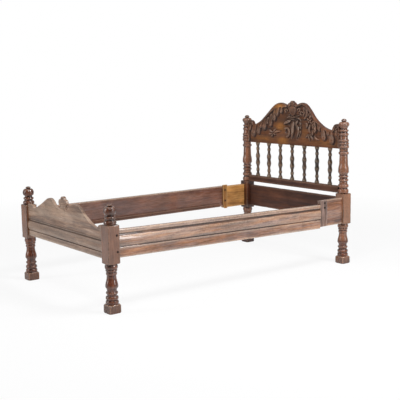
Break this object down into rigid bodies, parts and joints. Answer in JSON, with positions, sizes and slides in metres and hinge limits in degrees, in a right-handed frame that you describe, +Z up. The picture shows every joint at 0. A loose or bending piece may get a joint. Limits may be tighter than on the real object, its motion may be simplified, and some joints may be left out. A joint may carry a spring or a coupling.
{
  "type": "bed frame",
  "caption": "Single bed frame with turned posts, moulded spliced side rails on ledgers, a scalloped footboard and a spindle headboard under a carved crest board.",
  "frame": {"origin": "on the floor under the middle of the bed", "axes": "+X across the bed to the right of someone looking from the foot to the head, +Y along the bed from foot to head, +Z up"},
  "size_m": [1.15, 2.08, 1.192],
  "materials": {
    "dark_walnut": "dark red-brown stain under worn wax, satin, rubbed lighter on the swellings",
    "old_oak": "greyed brown stain under worn wax, lighter on the mouldings",
    "old_inside": "dark dry stain, dull",
    "new_pine": "thin golden stain, dull",
    "grey_oak": "greyed, dry and scuffed",
    "iron": "dark oxidised iron, dull"
  },
  "bodies": {
    "root": {"foot_post_left": "dark_walnut", "foot_post_right": "dark_walnut", "head_post_left": "dark_walnut", "head_post_right": "dark_walnut", "rail_pegs": "dark_walnut", "spindle_rail": "dark_walnut", "carved_headboard": "dark_walnut", "spindle_1": "dark_walnut", "spindle_2": "dark_walnut", "spindle_3": "dark_walnut", "spindle_4": "dark_walnut", "spindle_5": "dark_walnut", "spindle_6": "dark_walnut", "spindle_7": "dark_walnut", "foot_rail": "old_oak", "foot_crest_board": "old_oak", "side_rail_left": "old_oak", "side_rail_right": "old_oak", "rail_extension_right": "old_oak", "head_rail": "old_inside", "slat_ledger_left": "old_inside", "slat_ledger_right": "old_inside", "splice_cleat_right": "old_inside", "rail_extension_left": "new_pine", "splice_plate_left": "grey_oak", "splice_plate_right": "grey_oak", "splice_cleat_left": "grey_oak", "splice_bolts": "iron", "splice_nuts": "iron", "ledger_nails": "iron"}
  },
  "joints": []
}
